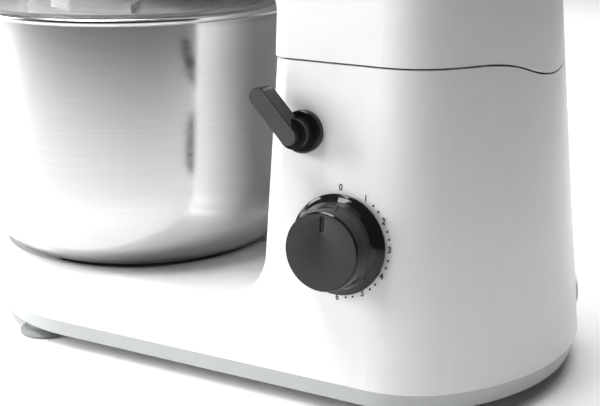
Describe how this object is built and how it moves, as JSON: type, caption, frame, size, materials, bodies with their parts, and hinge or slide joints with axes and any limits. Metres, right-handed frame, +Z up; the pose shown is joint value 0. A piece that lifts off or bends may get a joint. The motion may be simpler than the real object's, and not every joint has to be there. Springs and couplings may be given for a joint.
{
  "type": "stand mixer",
  "caption": "Tilt-head stand mixer with a steel bowl, clear splash guard, planetary beater, speed knob and head-release lever, for mixing dough and batter.",
  "frame": {"origin": "on the surface the feet stand on, below the middle of the machine's overall length and width", "axes": "+Z up; the head's nose points to -X, the column stands at +X, and the knob and lever are on the -Y side"},
  "size_m": [0.3967, 0.2289, 0.306],
  "materials": {
    "white_shell": "smooth satin gloss",
    "grey_plastic": "fine matt grain",
    "grey_rubber": "soft, slightly cloudy",
    "brushed_steel": "fine horizontal brushing",
    "clear_plastic": "clear and glossy",
    "black_gloss": "deep gloss",
    "lever_face": "satin",
    "pointer_inlay": "satin",
    "cast_aluminium": "fine cast, satin",
    "steel": "machined",
    "copper": "enamelled wire and copper bars",
    "carbon": "dull",
    "belt_rubber": "dull",
    "board_green": "lacquered board"
  },
  "bodies": {
    "stand": {"base_housing": "white_shell", "bottom_cover": "grey_plastic", "suction_feet": "grey_rubber", "base_screws": "steel", "bowl_seat": "white_shell", "column_frame": "steel", "hinge_pin": "steel", "column_top_plate": "grey_plastic", "head_buffers": "grey_rubber", "lever_bush": "black_gloss", "lever_spring": "steel", "speed_switch": "grey_plastic", "control_board": "board_green", "cable_inlet": "grey_plastic"},
    "bowl": {"bowl": "brushed_steel", "bowl_foot": "brushed_steel"},
    "head": {"head_lower_shell": "white_shell", "head_upper_shell": "white_shell", "head_chassis": "cast_aluminium", "gearbox_collar": "cast_aluminium", "ring_gear": "steel", "main_bearing": "steel", "motor_stator": "steel", "field_coils": "copper", "motor_brackets": "cast_aluminium", "motor_bearings": "steel", "carbon_brushes": "carbon", "brush_holders": "grey_plastic", "drive_belt": "belt_rubber", "splash_guard": "clear_plastic", "flap_pin": "steel", "latch_strike": "steel", "head_screws": "steel"},
    "flap": {"filler_flap": "clear_plastic"},
    "planet": {"planet_carrier": "cast_aluminium", "main_gear": "steel"},
    "tool": {"planet_gear": "steel", "tool_shaft": "steel", "cross_pin": "steel", "flat_beater": "cast_aluminium"},
    "idler": {"idler_pinion": "steel", "idler_pulley": "grey_plastic"},
    "armature": {"armature": "steel", "commutator": "copper", "motor_fan": "grey_plastic", "motor_pulley": "grey_plastic"},
    "knob": {"speed_knob": "black_gloss", "knob_pointer": "pointer_inlay", "knob_spindle": "steel"},
    "lever": {"tilt_lever": "black_gloss", "lever_cap": "lever_face", "lever_shaft": "steel"},
    "latch": {"latch_bolt": "steel"}
  },
  "joints": [
    {"name": "head_tilt", "type": "hinge", "parent": "stand", "child": "head", "pos_m": [0.164, 0, 0.14], "axis": [0, 1, 0], "range_deg": [0, 35]},
    {"name": "bowl_twist", "type": "hinge", "parent": "stand", "child": "bowl", "pos_m": [-0.0865, 0, 0.048], "axis": [0, 0, 1], "range_deg": [0, 22]},
    {"name": "planet_spin", "type": "hinge", "parent": "head", "child": "planet", "pos_m": [-0.0865, 0, 0.201], "axis": [0, 0, 1], "continuous": true},
    {"name": "tool_spin", "type": "hinge", "parent": "planet", "child": "tool", "pos_m": [-0.0585, 0, 0.201], "axis": [0, 0, 1], "continuous": true},
    {"name": "idler_spin", "type": "hinge", "parent": "head", "child": "idler", "pos_m": [-0.0415, 0, 0.24], "axis": [0, 0, 1], "continuous": true},
    {"name": "armature_spin", "type": "hinge", "parent": "head", "child": "armature", "pos_m": [0.1, 0, 0.22], "axis": [0, 0, 1], "continuous": true},
    {"name": "knob_turn", "type": "hinge", "parent": "stand", "child": "knob", "pos_m": [0.1028, -0.0939, 0.0942], "axis": [0, 0.9954, -0.0958], "range_deg": [0, 180]},
    {"name": "lever_turn", "type": "hinge", "parent": "stand", "child": "lever", "pos_m": [0.0794, -0.08853, 0.15], "axis": [0, -0.9954, 0.0958], "range_deg": [0, 40], "stiffness_Nm_per_rad": 0.15, "springref_deg": -20.05},
    {"name": "latch_slide", "type": "slide", "parent": "stand", "child": "latch", "axis": [1, 0, 0], "range_m": [0, 0.0052]},
    {"name": "flap_open", "type": "hinge", "parent": "head", "child": "flap", "pos_m": [-0.14873, -0.08888, 0.2173], "axis": [0.8192, -0.5736, 0], "range_deg": [0, 100]}
  ],
  "couplings": [
    {"joint": "tool_spin", "follows": "planet_spin", "ratio": -3},
    {"joint": "idler_spin", "follows": "planet_spin", "ratio": -4},
    {"joint": "armature_spin", "follows": "planet_spin", "ratio": -20},
    {"joint": "latch_slide", "follows": "lever_turn", "m_per_rad": 0.00736}
  ]
}
